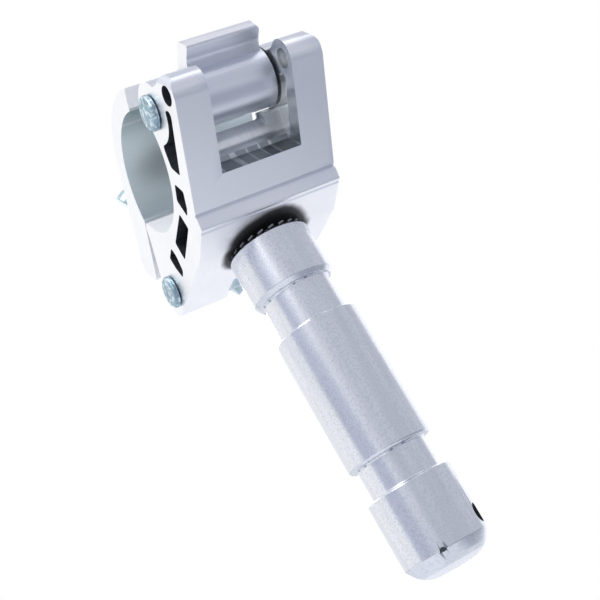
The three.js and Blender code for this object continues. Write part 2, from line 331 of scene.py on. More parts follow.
class Finish:
    """A metal whose colour, roughness and relief come from noise in the object's own coordinates."""

    def __init__(self, name, colour, roughness, metallic=1.0):
        self.material = bpy.data.materials.new(name)
        self.material.use_nodes = True
        self.material.diffuse_color = (*colour, 1)
        self.tree = self.material.node_tree
        self.shader = self.tree.nodes["Principled BSDF"]
        self.shader.inputs["Metallic"].default_value = metallic
        self.colour = self.mix_colour(0.0, colour, colour)
        self.roughness = self.math("ADD", roughness, 0.0)
        self.relief = None
        self.place = self.tree.nodes.new("ShaderNodeTexCoord").outputs["Object"]

    def link(self, source, target):
        if hasattr(source, "is_output"):
            self.tree.links.new(source, target)
        else:
            target.default_value = source

    def math(self, operation, a, b):
        node = self.tree.nodes.new("ShaderNodeMath")
        node.operation = operation
        self.link(a, node.inputs[0])
        self.link(b, node.inputs[1])
        return node.outputs[0]

    def mix_colour(self, share, a, b):
        node = self.tree.nodes.new("ShaderNodeMix")
        node.data_type = "RGBA"
        self.link(share, node.inputs["Factor"])
        for value, socket in ((a, node.inputs[6]), (b, node.inputs[7])):
            self.link((*value, 1) if isinstance(value, tuple) else value, socket)
        return node.outputs[2]

    def stretch(self, scale, turn=(0, 0, 0)):
        node = self.tree.nodes.new("ShaderNodeMapping")
        node.inputs["Scale"].default_value = scale
        node.inputs["Rotation"].default_value = [math.radians(a) for a in turn]
        self.tree.links.new(self.place, node.inputs["Vector"])
        return node.outputs[0]

    def noise(self, scale, detail=3.0, turn=(0, 0, 0), offset=0.0):
        """Noise from about 0 to 1, with its own scale along each axis, per metre."""
        node = self.tree.nodes.new("ShaderNodeTexNoise")
        node.noise_dimensions = "4D"
        node.inputs["W"].default_value = offset
        node.inputs["Scale"].default_value = 1.0
        node.inputs["Detail"].default_value = detail
        self.tree.links.new(self.stretch(scale, turn), node.inputs["Vector"])
        return node.outputs[0]

    def band(self, source, low, high, to=(0.0, 1.0)):
        """source from low to high, spread over `to` and held at its ends."""
        node = self.tree.nodes.new("ShaderNodeMapRange")
        node.interpolation_type = "SMOOTHSTEP"
        self.link(source, node.inputs["Value"])
        for value, socket in zip((low, high, *to), ("From Min", "From Max", "To Min", "To Max")):
            node.inputs[socket].default_value = value
        return node.outputs[0]

    def tint(self, share, colour):
        self.colour = self.mix_colour(share, self.colour, colour)

    def dull(self, share, amount):
        """Adds up to `amount` of roughness where share is 1."""
        self.roughness = self.math("ADD", self.roughness, self.math("MULTIPLY", share, amount))

    def emboss(self, height, depth):
        """Relief, with its depth in millimetres."""
        node = self.tree.nodes.new("ShaderNodeBump")
        node.inputs["Strength"].default_value = 1.0
        node.inputs["Distance"].default_value = depth * MM
        self.link(height, node.inputs["Height"])
        if self.relief:
            self.tree.links.new(self.relief, node.inputs["Normal"])
        self.relief = node.outputs[0]

    def edges(self):
        """1 on convex edges, 0 on faces and in hollows."""
        pointiness = self.tree.nodes.new("ShaderNodeNewGeometry").outputs["Pointiness"]
        return self.band(pointiness, 0.52, 0.60)

    def done(self):
        self.link(self.colour, self.shader.inputs["Base Color"])
        self.link(self.roughness, self.shader.inputs["Roughness"])
        self.link(self.relief, self.shader.inputs["Normal"])
        return self.material


def extruded_aluminium(name="satin anodised aluminium", colour=(0.70, 0.72, 0.79)):
    """Satin anodised, with die lines along X."""
    made = Finish(name, colour, 0.27)
    cloud = made.noise((45, 90, 90), 2, offset=1)
    lines = made.noise((14, 2600, 2600), 2, offset=2)
    grain = made.noise((3800, 3800, 3800), 2, offset=3)
    made.tint(made.band(cloud, 0.4, 0.65, (0.0, 0.1)), (0.88, 0.89, 0.92))
    made.tint(made.band(lines, 0.3, 0.7, (0.0, 0.14)), (0.45, 0.47, 0.54))
    made.tint(made.math("MULTIPLY", made.edges(), 0.6), (0.88, 0.88, 0.91))
    made.dull(lines, 0.10)
    made.dull(cloud, 0.06)
    made.emboss(lines, 0.004)
    made.emboss(grain, 0.006)
    return made.done()


def sawn_aluminium():
    """The bright cut ends of the extrusion and the spigot's end."""
    made = Finish("cut aluminium", (0.90, 0.90, 0.915), 0.30)
    sweep = made.noise((60, 260, 2400), 2, turn=(28, 0, 0), offset=4)
    cloud = made.noise((70, 70, 70), 3, offset=5)
    nicks = made.band(made.noise((900, 900, 900), 2, offset=6), 0.70, 0.76)
    made.tint(made.band(cloud, 0.4, 0.7, (0.0, 0.5)), (0.84, 0.845, 0.87))
    made.tint(made.math("MULTIPLY", nicks, 0.35), (0.45, 0.46, 0.5))
    made.dull(sweep, 0.10)
    made.emboss(sweep, 0.006)
    made.emboss(made.math("MULTIPLY", nicks, -1.0), 0.02)
    return made.done()


def milled_aluminium(name, colour, bright, dark):
    """Cutter marks, as parallel scores across a grey face."""
    made = Finish(name, colour, 0.26)
    scores = made.noise((1500, 60, 60), 1, turn=(0, 0, 24), offset=7)
    steps = made.band(made.noise((560, 6, 6), 0, turn=(0, 0, 24), offset=8), 0.60, 0.66)
    cloud = made.noise((160, 160, 160), 3, offset=9)
    made.tint(made.math("MULTIPLY", steps, 0.75), bright)
    made.tint(made.band(cloud, 0.45, 0.7, (0.0, 0.5)), dark)
    made.dull(scores, 0.16)
    made.emboss(scores, 0.03)
    made.emboss(steps, 0.03)
    return made.done()


def matt_painted_light():
    """Painted light: a near-white, matt surface that lightens the bore, the jaw's recesses and the lug's
    lower faces.
    """
    made = Finish("matt aluminium, painted light", (0.93, 0.935, 0.95), 0.5, metallic=0.15)
    cloud = made.noise((120, 160, 160), 3, offset=23)
    fine = made.noise((1500, 1500, 1500), 2, offset=24)
    made.tint(made.band(cloud, 0.45, 0.7, (0.0, 0.4)), (0.84, 0.85, 0.88))
    made.dull(cloud, 0.15)
    made.emboss(fine, 0.008)
    return made.done()


def lower_face():
    """Bright and machined, with painted shade in a dark ring round the screwed joint."""
    made = Finish("cut aluminium, lower face", (0.99, 0.99, 0.995), 0.42)
    cloud = made.noise((70, 70, 70), 3, offset=19)
    fine = made.noise((1700, 1700, 1700), 2, offset=20)
    flat = made.tree.nodes.new("ShaderNodeVectorMath")
    flat.operation = "MULTIPLY"
    flat.inputs[1].default_value = (1, 1, 0)
    made.link(made.place, flat.inputs[0])
    length = made.tree.nodes.new("ShaderNodeVectorMath")
    length.operation = "LENGTH"
    made.link(flat.outputs["Vector"], length.inputs[0])
    wander = made.math("MULTIPLY", made.math("SUBTRACT", cloud, 0.5), 0.004)
    away = made.math("ADD", length.outputs["Value"], wander)
    # painted shade: a dark ring round the screwed joint, where the collar meets the lower face
    shade_ring = made.band(away, 0.0142, 0.0172, (1.0, 0.0))
    made.tint(made.band(cloud, 0.4, 0.7, (0.0, 0.4)), (0.92, 0.92, 0.94))
    made.tint(made.math("MULTIPLY", shade_ring, 0.93), (0.03, 0.035, 0.04))
    made.dull(fine, 0.08)
    made.dull(shade_ring, 0.15)
    made.emboss(fine, 0.006)
    return made.done()


def pocket_painted_shade():
    """Painted shade: the dull, near-black inside of the pockets and drilled holes."""
    made = Finish("painted shade, pockets and holes", (0.07, 0.085, 0.10), 0.5)
    cloud = made.noise((120, 400, 400), 3, offset=21)
    made.tint(made.band(cloud, 0.4, 0.7, (0.0, 0.6)), (0.14, 0.15, 0.17))
    made.dull(cloud, 0.15)
    made.emboss(cloud, 0.02)
    return made.done()


def turned_aluminium():
    """Fine rings from the lathe, a grainy tone and a few nicks."""
    made = Finish("turned aluminium", (0.78, 0.795, 0.84), 0.16)
    rings = made.noise((20, 20, 5200), 2, offset=10)
    streaks = made.noise((170, 170, 9), 2, offset=22)
    scuffs = made.noise((330, 330, 60), 4, offset=11)
    speckle = made.noise((1500, 1500, 1500), 3, offset=12)
    nicks = made.band(made.noise((420, 420, 260), 3, offset=13), 0.735, 0.77)
    made.tint(made.band(scuffs, 0.42, 0.68, (0.0, 0.55)), (0.70, 0.71, 0.745))
    made.tint(made.band(speckle, 0.46, 0.62, (0.0, 0.5)), (0.58, 0.60, 0.645))
    made.tint(made.band(streaks, 0.46, 0.60, (0.0, 0.45)), (0.62, 0.64, 0.70))
    made.tint(made.math("MULTIPLY", nicks, 0.7), (0.3, 0.31, 0.34))
    # painted shade: convex edges darkened into thin dark lines at the rims and groove shoulders
    made.tint(made.math("MULTIPLY", made.edges(), 0.9), (0.22, 0.24, 0.29))
    made.dull(scuffs, 0.12)
    made.dull(speckle, 0.08)
    made.emboss(rings, 0.005)
    made.emboss(speckle, 0.006)
    made.emboss(made.math("MULTIPLY", nicks, -1.0), 0.03)
    return made.done()


def zinc_plate(name, colour, contrast):
    """Bright zinc with a blue cast, on a stamped or forged, mottled skin."""
    made = Finish(name, colour, 0.26)
    mottle = made.noise((620, 620, 620), 4, offset=14)
    cast = made.noise((190, 190, 190), 2, offset=15)
    pits = made.band(made.noise((1150, 1150, 1150), 2, offset=16), 0.62, 0.72)
    made.tint(made.band(mottle, 0.49, 0.58, (0.0, contrast)), (0.66, 0.76, 0.81))
    made.tint(made.band(cast, 0.50, 0.68, (0.0, 0.6 * contrast)), (0.16, 0.27, 0.34))
    made.tint(made.math("MULTIPLY", pits, 0.6 * contrast), (0.12, 0.18, 0.21))
    made.tint(made.math("MULTIPLY", made.edges(), 0.6), (0.86, 0.90, 0.92))
    made.dull(mottle, 0.26)
    made.emboss(mottle, 0.09)
    made.emboss(made.math("MULTIPLY", pits, -1.0), 0.03)
    return made.done()


def blackened_steel():
    """Oiled black steel, worn bright on its edges."""
    made = Finish("blackened steel", (0.045, 0.047, 0.052), 0.36)
    cloud = made.noise((260, 260, 260), 3, offset=17)
    grain = made.noise((2100, 2100, 2100), 2, offset=18)
    made.tint(made.band(cloud, 0.45, 0.7, (0.0, 0.5)), (0.10, 0.10, 0.11))
    made.tint(made.math("MULTIPLY", made.edges(), 0.4), (0.5, 0.51, 0.54))
    made.dull(cloud, 0.18)
    made.emboss(grain, 0.01)
    return made.done()


SATIN = extruded_aluminium()
INSIDE = extruded_aluminium("anodised bore", (0.60, 0.68, 0.69))
SAWN = sawn_aluminium()
LOWER = lower_face()
# painted light for faces in shade: the bore, the jaw's recesses and the lug's lower faces
MATT_PAINTED_LIGHT = matt_painted_light()
# painted shade for the walls of pockets and drilled holes
POCKET_SHADE = pocket_painted_shade()
MILLED = milled_aluminium("milled aluminium", (0.30, 0.32, 0.345), (0.72, 0.74, 0.76), (0.22, 0.23, 0.25))
BLADE = milled_aluminium("end-milled aluminium", (0.76, 0.78, 0.80), (0.80, 0.81, 0.83), (0.6, 0.6, 0.6))
TURNED = turned_aluminium()
ZINC = zinc_plate("zinc plate", (0.30, 0.42, 0.49), 1.0)
BOLT_ZINC = zinc_plate("zinc plate, bolt and nut", (0.46, 0.57, 0.62), 0.5)
BLACK = blackened_steel()

FRONT_UP = (Vector(FRONT_TOP) - Vector(FRONT_FOOT)).normalized()  # up the front face, in (Y, Z)


def end_corner(tip, up, side_x, radius, sides=(-1, 1)):
    """Cuts for rounding a plate's corners at X = -side_x and side_x, where its edge lies at `tip`."""
    cuts = []
    clear, half_depth = 2, 8  # how far a cut stands past the plate's edge, and to each side of `tip`
    across = Vector((-up.y, up.x))
    turn = Matrix(
        ((1, 0, 0, 0), (0, up.x, across.x, tip.x), (0, up.y, across.y, tip.y), (0, 0, 0, 1))
    )
    for side in sides:
        centre = (side * (side_x - radius), -radius)
        start, end = (0, 90) if side > 0 else (90, 180)
        curve = arc(centre, radius, start, end, 7.5)
        outer = side * (side_x + clear)
        corner = [(outer, -radius), (outer, clear), (centre[0], clear)]
        outline = curve + corner[::-1] if side > 0 else curve + corner
        piece = prism("cutter", outline, -half_depth, half_depth, SATIN, axis="Z")
        cuts.append(placed(piece, turn))
    return cuts


# ---- the saddle ----


def saddle_outline():
    return [
        (-4.5, BASE_Z),
        *arc(FOOT_CORNER, FOOT_CORNER_R, -90, -4, 8),
        *arc(PIVOT, FOOT_R, -12, 42),  # round the swing bolt's pin
        (25.6, -15),
        (24.2, -12.3),
        *arc((0, 0), BORE_R, -28.7, -191.4, 2),
        *arc(HINGE, HUB_R, 50, 162),  # round the jaw's pin
        (-43.6, -1),
        *arc(LOBE, LOBE_R, 95, 218, 5),  # tip of the ears
        FRONT_TOP,
        FRONT_FOOT,
        (-19.4, -33.6),  # groove above the lip
        (-19.7, -35),
        (-18.5, -38.5),  # lip
        (-17.3, -38.3),
        (-16.3, -38.9),  # relieved front of the lower face
    ]


POCKETS = [  # right through the extrusion, the first of them below the jaw's pin
    [
        *arc(HINGE, 10.2, 214, 302),
        (-24.6, -12.2),
        (-22.3, -17.2),
        (-25.2, -22.1),
        (-41.6, -11.4),
        (-41.9, -9.4),
    ],
    [(-18.2, -20.6), (-13.1, -23.8), (-14.1, -30.4), (-17, -29.2), (-21.1, -25.4)],
    [(-9.4, -26.6), (6.4, -28.6), (6.3, -35.3), (-9.9, -32.5)],
    [(12.3, -27.4), (18.1, -28.2), (17.6, -32.6), (16, -37), (12.9, -36), (11.6, -31)],
]


def window_cuts():
    """The gap between the ears: a wide cut, and a deeper one that breaks through to the bore."""
    outside, above = -60, 20  # places past the front and over the top of the ears
    wide = [
        (-31.9, -32.4),
        (-23.9, -21.8),
        (-24.2, -17.6),
        (-25.2, -12.6),
        *arc(HINGE, 10.6, -58, -43),
        (-19, -8.6),
        (-19, above),
        (outside, above),
        (outside, -32.4),
    ]
    deep_top, deep_reach = 10, 3.5  # of the two deeper cuts, and their corners' reach
    slit_reach, in_bore = 2, -15  # the slit ends inside the bore

    def opening(half, foot):
        return [(-half, foot), (half, foot), (half, deep_top), (-half, deep_top)]

    slot = opening(DEEP_SLOT_HALF, -16.9)
    slit = opening(DEEP_SLOT_HALF - 1, -11.6)
    return [
        prism("cutter", wide, -SLOT_HALF, SLOT_HALF, MILLED),
        prism("cutter", soften(slot, deep_reach), outside, BLADE_Y, BLADE, axis="Y"),
        prism("cutter", soften(slit, slit_reach), outside, in_bore, BLADE, axis="Y"),
    ]


def bolt_slot():
    """The slot that the swing bolt turns in, open at the back and below."""
    far, below = 60, BASE_Z - 5
    outline = [
        (PIVOT[0] - BOLT_SLOT_R, below),
        (far, below),
        from_pivot(LUG_ANGLE, far, BOLT_SLOT_R),
        *arc(PIVOT, BOLT_SLOT_R, LUG_ANGLE + 90, 180),
    ]
    return prism("cutter", outline, -BOLT_SLOT_HALF, BOLT_SLOT_HALF, MILLED)


def make_saddle():
    outline = soften(saddle_outline(), SADDLE_CORNER)
    saddle = prism("saddle", outline, -HALF_WIDTH, HALF_WIDTH, SATIN, SAWN)
    front_pocket, *others = [soften(pocket, SADDLE_CORNER) for pocket in POCKETS]
    # the pockets' walls get painted shade, as does the hole in the -X ear
    for pocket in others:
        cut(saddle, prism("cutter", pocket, -PAST, PAST, POCKET_SHADE))
    overlap = 0.01  # of the two cuts that make one hole: painted shade in the -X ear, light end-milled walls in the +X one
    for hole in (front_pocket, circle(EAR_HOLE, EAR_HOLE_R)):
        cut(saddle, prism("cutter", hole, -PAST, -SLOT_HALF, POCKET_SHADE))
        cut(saddle, prism("cutter", hole, -SLOT_HALF - overlap, PAST, BLADE))
    cut(saddle, *window_cuts(), bolt_slot())
    cut(saddle, *[cylinder_x(place, PIN_HOLE_R, -PAST, PAST, MILLED) for place in (HINGE, PIVOT)])
    over_floor, under_base = COUNTERBORE_FLOOR + 4.8, BASE_Z - 1
    counterbore, screw_hole = circle((0, 0), COUNTERBORE_R), circle((0, 0), SCREW_R + 2 * GAP)
    cut(saddle, prism("cutter", counterbore, COUNTERBORE_FLOOR, 0, MILLED, axis="Z"))
    cut(saddle, prism("cutter", screw_hole, under_base, over_floor, MILLED, axis="Z"))
    tip = Vector(LOBE) + FRONT_UP * LOBE_R
    cut(saddle, *end_corner(tip, FRONT_UP, HALF_WIDTH, EAR_END_R))
    low = (BASE_Z + 4) * MM  # over every part of the lower face
    repaint(saddle, LOWER, lambda face: face.normal.z < -0.9 and face.center.z < low)
    reach = (BORE_R + 0.3) * MM  # of the bore's own faces
    # painted light: the bore's faces are made near white and matt
    repaint(saddle, MATT_PAINTED_LIGHT, lambda face: face.center.yz.length < reach and abs(face.normal.x) < 0.5)
    return finished(saddle, RIM)


# ---- the jaw ----


def jaw_outline():
    """The arm with its lug, the neck and the barrel, in one line."""
    nose, heel = 5.2, 1.5
    return [
        *arc(JAW_CENTRE, JAW_OUT_R, 122, LUG_ANGLE, 2),
        *arc(from_pivot(LUG_ANGLE, LUG_OUT - nose, LUG_TIP + nose), nose, LUG_ANGLE, LUG_ANGLE - 90, 6),
        *arc(from_pivot(LUG_ANGLE, LUG_IN + heel, LUG_TIP + heel), heel, LUG_ANGLE - 90, LUG_ANGLE - 180, 15),
        *arc(JAW_CENTRE, JAW_IN_R, 7.5, 122, 2),
        (-22, 0.5),
        *arc(HINGE, BARREL_R, 330, 90, 3),
        (-27, 9.6),
    ]


TAB = [(-34.6, 6.7), (-44.2, 10.3), (-47.9, 5.5), (-47.3, 4.9), (-42.6, 3.6), (-40, 1.2), (-36, 0)]
TAB_OUT = Vector((-0.894, 0.447))  # from the tab's root to its tip, in (Y, Z)
TAB_TIP = Vector((-46.2, 8)) + TAB_OUT * 0.6


def lug_slot():
    open_end, past_lug = -20, LUG_OUT + 14.4
    outline = [
        *arc((0, LUG_SLOT_END), LUG_SLOT_HALF, 0, 180, 5),
        (-LUG_SLOT_HALF, open_end),
        (LUG_SLOT_HALF, open_end),
    ]
    return stand_out(prism("cutter", outline, 0, past_lug, MILLED, axis="Z"), LUG_ANGLE)


def make_jaw():
    jaw = prism("jaw", soften(jaw_outline(), JAW_CORNER), -HALF_WIDTH, HALF_WIDTH, SATIN, SAWN)
    for low, high in ((-PAST, -KNUCKLE_HALF), (KNUCKLE_HALF, PAST)):
        # painted light: the walls of the clearance recesses are near white and matt
        clearance = prism("cutter", circle(HINGE, JAW_CLEARANCE_R, 3), low, high, MATT_PAINTED_LIGHT, SAWN)
        cut(jaw, clearance)
    tab = prism("tab", soften(TAB, TAB_CORNER), -TAB_HALF, TAB_HALF, SATIN, SAWN)
    cut(tab, *end_corner(TAB_TIP, TAB_OUT, TAB_HALF, TAB_END_R, (1,)))
    join(jaw, tab)
    cut(jaw, lug_slot(), cylinder_x(HINGE, PIN_HOLE_R, -PAST, PAST, MILLED))
    centre, pivot = (Vector((0, *place)) * MM for place in (JAW_CENTRE, PIVOT))
    near, close = 0.4 * MM, 27 * MM  # to the inner arc, and to the swing bolt's pin

    def under_lug(face):
        return (face.center - pivot).yz.length < close and face.normal.z < -0.2

    def inside(face):
        out = (face.center - centre).yz
        return abs(out.length - JAW_IN_R * MM) < near and out.dot(face.normal.yz) < 0

    # painted light on the lug's lower faces
    repaint(jaw, MATT_PAINTED_LIGHT, under_lug)
    repaint(jaw, INSIDE, inside)
    return finished(jaw, RIM)


# ---- rivets and their washers ----


def make_rivet(name, place):
    face = HALF_WIDTH + GAP
    tail = face + RIVET_WASHER_T + GAP
    head = -face - RIVET_HEAD_T
    formed = tail + RIVET_TAIL_T
    punch_r, punch_depth = 1.2, 0.9
    profile = [
        (0, head),
        (RIVET_HEAD_R * 0.5, head + 0.03),
        (RIVET_HEAD_R - 0.6, head + 0.12),
        (RIVET_HEAD_R, head + 0.7),
        (RIVET_HEAD_R, -face),
        (PIN_R, -face),
        (PIN_R, tail),
        (RIVET_TAIL_R, tail),
        (RIVET_TAIL_R - 1, formed),
        (punch_r + 0.4, formed - 0.1),
        (punch_r, formed - punch_depth),
        (0, formed - punch_depth),
    ]
    rivet = lathe(name, soften(profile, 0.35, closed=False), ZINC, sides=96)
    return finished(along_x(rivet, place), rim=0.12, segments=2)


def ring_profile(inner, outer, low, high):
    return [(inner, low), (outer, low), (outer, high), (inner, high)]


def make_rivet_washer(name, place):
    face = HALF_WIDTH + GAP
    profile = ring_profile(PIN_HOLE_R, RIVET_WASHER_R, face, face + RIVET_WASHER_T)
    washer = lathe(name, soften(profile, 0.3), ZINC, sides=96, ring=True)
    return finished(along_x(washer, place), rim=0.1, segments=2)


# ---- the swing bolt, its washer and the wing nut ----


def thread_radius(radius, height, angle):
    """An M12 thread: a helical groove, flat at its root, which fades out toward the plain shank."""
    if not THREAD_START < height < THREAD_END:
        return radius
    fade_length, slope, crest = 2.5, 1.3, 0.15
    share = (height / THREAD_PITCH - angle / (2 * math.pi)) % 1.0
    ramp = 1 - abs(2 * share - 1)
    fade = min(1.0, (height - THREAD_START) / fade_length)
    return radius - THREAD_DEPTH * fade * min(1.0, max(0.0, ramp * slope - crest))


def make_swing_bolt():
    step = THREAD_PITCH / 10
    in_eye, chamfer = 3, 1.4
    rows = int((BOLT_LENGTH - chamfer - THREAD_START) / step)
    profile = [(0, in_eye), (BOLT_R - 0.1, in_eye)]
    profile += [(BOLT_R, THREAD_START + i * step) for i in range(rows + 1)]
    profile += [(BOLT_R - chamfer, BOLT_LENGTH), (0, BOLT_LENGTH)]
    shank = lathe("swing_bolt_shank", profile, BOLT_ZINC, sides=64, radius_at=thread_radius)
    stand_out(shank, BOLT_ANGLE)
    eye_profile = [(0, -EYE_HALF), (EYE_R, -EYE_HALF), (EYE_R, EYE_HALF), (0, EYE_HALF)]
    eye = along_x(lathe("eye", soften(eye_profile, 0.8, closed=False), BOLT_ZINC, sides=72), PIVOT)
    join(shank, eye)
    cut(shank, cylinder_x(PIVOT, PIN_HOLE_R, -EYE_HALF - 1, EYE_HALF + 1, BOLT_ZINC))
    return finished(shank, rim=0.06, segments=1, angle=50)


def make_nut_washer():
    profile = ring_profile(BOLT_R + GAP, WASHER_R, WASHER_BASE, WASHER_BASE + WASHER_T)
    washer = lathe("bolt_washer", soften(profile, 0.5), BOLT_ZINC, sides=96, ring=True)
    return finished(stand_out(washer, BOLT_ANGLE), rim=0.1, segments=2)


def make_wing_nut():
    """A hot-forged nut: hub and wings melt into each other, and only the bore is cut."""
    seat, top, hub_r = 0.25, NUT_HEIGHT - 0.2, NUT_HUB_R - 0.3
    hub_profile = [
        (0, seat),
        (hub_r, seat),
        (hub_r, 1.9),
        (NUT_TOP_R, top - 1.4),
        (NUT_TOP_R - 1.2, top),
        (0, top),
    ]
    nut = lathe("wing_nut_forging", soften(hub_profile, 0.9, closed=False), BOLT_ZINC, sides=72)
    wing = [
        (4, 2.9),
        (11, 3.6),
        (19, 7.2),
        *arc(WING_TIP, WING_TIP_R - 0.15, -58, 118, 8),
        (16, 15.8),
        (9, 12.5),
        (4, 12.1),
    ]
    for turn in (0, 180):
        blade = prism("wing", wing, -WING_HALF_T, WING_HALF_T, BOLT_ZINC, axis="Y")
        join(nut, placed(blade, Matrix.Rotation(math.radians(turn), 4, "Z")))
    grain = 0.34
    remesh = nut.modifiers.new("forging", "REMESH")
    remesh.mode = "VOXEL"
    remesh.voxel_size = grain * MM
    melt = nut.modifiers.new("melt", "SMOOTH")
    melt.factor = 0.5
    melt.iterations = 9
    apply_modifiers(nut)
    bore = prism("cutter", circle((0, 0), BOLT_R + GAP), -2, NUT_HEIGHT + 2, BOLT_ZINC, axis="Z")
    cut(nut, bore)
    stand = Matrix.Translation((0, 0, NUT_BASE)) @ Matrix.Rotation(math.radians(WING_TURN), 4, "Z")
    return finished(stand_out(placed(nut, stand), BOLT_ANGLE), rim=0.08, segments=1, angle=60)


# ---- the spigot, its screw and the lock washer ----


def make_spigot():
    top = BASE_Z - LOCK_WASHER_T - 2 * GAP
    downs = (20, 33.3, 78.9, 89.5, 111.3, 117.4)
    collar_foot, land_top, land_foot, end_top, end_foot, end = (BASE_Z - down for down in downs)
    hole_depth, drill_point = 24, 3
    neck_r = 0.5  # round at the foot of each groove
    tool_mark = end_top - 1.85  # a fine line round the end land
    profile = [
        (0, top - hole_depth - drill_point),
        (SCREW_R + GAP, top - hole_depth),
        (SCREW_R + GAP, top),
        (SPIGOT_R - 0.6, top),
        (SPIGOT_R, top - 0.6),
        (SPIGOT_R, collar_foot + 1.5),
        (SPIGOT_R - 1.3, collar_foot),
        (GROOVE_R + neck_r, collar_foot),
        (GROOVE_R, collar_foot - neck_r),
        (GROOVE_R, land_top + neck_r),
        (GROOVE_R + neck_r, land_top),
        (SPIGOT_R - 0.25, land_top),
        (SPIGOT_R, land_top - 0.25),
        (SPIGOT_R, land_foot + 0.7),
        (SPIGOT_R - 0.6, land_foot),
        (GROOVE_R + neck_r, land_foot),
        (GROOVE_R, land_foot - neck_r),
        (GROOVE_R, end_top + neck_r),
        (GROOVE_R + neck_r, end_top),
        (SPIGOT_R - 0.3, end_top),
        (SPIGOT_R, end_top - 0.3),
        (SPIGOT_R, tool_mark + 0.15),
        (SPIGOT_R - 0.08, tool_mark),
        (SPIGOT_R, tool_mark - 0.15),
        (SPIGOT_R, end_foot + 3),  # clear of the dent
        (SPIGOT_R, end_foot),
    ]
    chamfer_width, chamfer_height = 2.1, 3
    crown_r = SPIGOT_R - chamfer_width
    crown_height = end_foot - chamfer_height - end
    steps, flatness = 14, 4  # the crown is nearly flat in the middle
    for i in range(steps + 1):
        share = 1 - i / steps
        profile.append((crown_r * share, end + crown_height * share**flatness))
    corner = 0.22
    outline = soften(profile, corner, closed=False, sharp=30, steps=3)
    spigot = lathe("turned_spigot", outline, TURNED, sides=144)
    # painted shade on the walls of the cross hole and of the dent
    cross_hole = cylinder_x((0, CROSS_HOLE_Z), CROSS_HOLE_R, -SPIGOT_R - 1, SPIGOT_R + 1, POCKET_SHADE)
    cut(spigot, placed(cross_hole, Matrix.Rotation(math.radians(CROSS_HOLE_TURN), 4, "Z")))
    dent_turn, dent_r, dent_depth = -118, 1.1, 0.4  # a knock at the upper rim of the end chamfer, with painted shade in it
    dent = cylinder_x((0, end_foot - 0.3), dent_r, SPIGOT_R - dent_depth, SPIGOT_R + 2, POCKET_SHADE)
    cut(spigot, placed(dent, Matrix.Rotation(math.radians(dent_turn), 4, "Z")))
    low = (end + 1.6) * MM  # over most of the crown
    repaint(spigot, SAWN, lambda face: face.center.z < low)
    return finished(spigot, rim=0.2, segments=2, angle=40)


def make_spigot_screw():
    """A cap screw: knurled head, hexagon socket."""
    under = COUNTERBORE_FLOOR + GAP
    top = under + SCREW_HEAD_T
    knurls, knurl_depth = 40, 0.3
    point = 1  # chamfer at the screw's tip

    def knurled(radius, height, angle):
        if radius < SCREW_HEAD_R - 0.4 or not under + 0.8 < height < top - 1.2:
            return radius
        return radius - knurl_depth * (0.5 - 0.5 * math.cos(knurls * angle))

    profile = [
        (0, SCREW_TIP_Z),
        (SCREW_R - point, SCREW_TIP_Z),
        (SCREW_R, SCREW_TIP_Z + point),
        (SCREW_R, under),
        (SCREW_HEAD_R - 0.4, under),
        (SCREW_HEAD_R - 0.1, under + 0.6),
        (SCREW_HEAD_R, under + 1.2),
        (SCREW_HEAD_R, under + 3.5),
        (SCREW_HEAD_R, top - 1.8),
        (SCREW_HEAD_R - 0.1, top - 0.9),
        (SCREW_HEAD_R - 0.9, top),
        (0, top),
    ]
    screw = lathe("cap_screw", profile, BLACK, sides=240, radius_at=knurled)
    socket_r, socket_depth, sixth = 4.6, 3.9, 60
    hexagon = circle((0, 0), socket_r, sixth)
    cut(screw, prism("cutter", hexagon, top - socket_depth, top + 1, BLACK, axis="Z"))
    return finished(screw, rim=0.15, segments=2, angle=45)


def make_lock_washer():
    """An external-tooth washer whose teeth are twisted out of its plane."""
    middle = BASE_Z - GAP - LOCK_WASHER_T / 2
    half = 0.3  # of its thickness
    ring_r, root_r, tooth_r = 11.2, 10.6, 13.1
    profile = ring_profile(SCREW_R + 2 * GAP, ring_r, middle - half, middle + half)
    washer = lathe("toothed_washer", soften(profile, 0.12), BLACK, sides=132, ring=True)
    teeth, half_tooth, twist_angle = 22, 1, 14
    tooth_outline = ring_profile(root_r, tooth_r, -half, half)
    for i in range(teeth):
        tooth = prism("tooth", tooth_outline, -half_tooth, half_tooth, BLACK, axis="Y")
        twist = Matrix.Rotation(math.radians(twist_angle), 4, "X")
        round_turn = Matrix.Rotation(2 * math.pi * i / teeth, 4, "Z")
        placed(tooth, Matrix.Translation((0, 0, middle)) @ round_turn @ twist)
        join(washer, tooth)
    return finished(washer, rim=0.06, segments=1, angle=40)


# ---- the whole object ----

PIECES = [
    (make_saddle(), "clamp_body", "main_body", "anodised_aluminium"),
    (make_jaw(), "jaw", "hinged_jaw", "anodised_aluminium"),
    (make_rivet("hinge_rivet_zinc", HINGE), "clamp_body", "hinge_rivet", "zinc_plated_steel"),
    (make_rivet("bolt_rivet_zinc", PIVOT), "clamp_body", "bolt_rivet", "zinc_plated_steel"),
    (make_rivet_washer("hinge_washer", HINGE), "clamp_body", "hinge_rivet_washer", "zinc_plated_steel"),
    (make_rivet_washer("pivot_washer", PIVOT), "clamp_body", "bolt_rivet_washer", "zinc_plated_steel"),
    (make_swing_bolt(), "bolt", "swing_bolt", "zinc_plated_steel"),
    (make_nut_washer(), "nut_carrier", "nut_washer", "zinc_plated_steel"),
    (make_wing_nut(), "nut", "wing_nut", "zinc_plated_steel"),
    (make_spigot(), "clamp_body", "spigot", "turned_aluminium"),
    (make_spigot_screw(), "clamp_body", "spigot_screw", "dark_steel"),
    (make_lock_washer(), "clamp_body", "lock_washer", "dark_steel"),
]
for piece, body, node, finish_slot in PIECES:
    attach(piece, body)
    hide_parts(node)


# ---- floor, light and camera ----


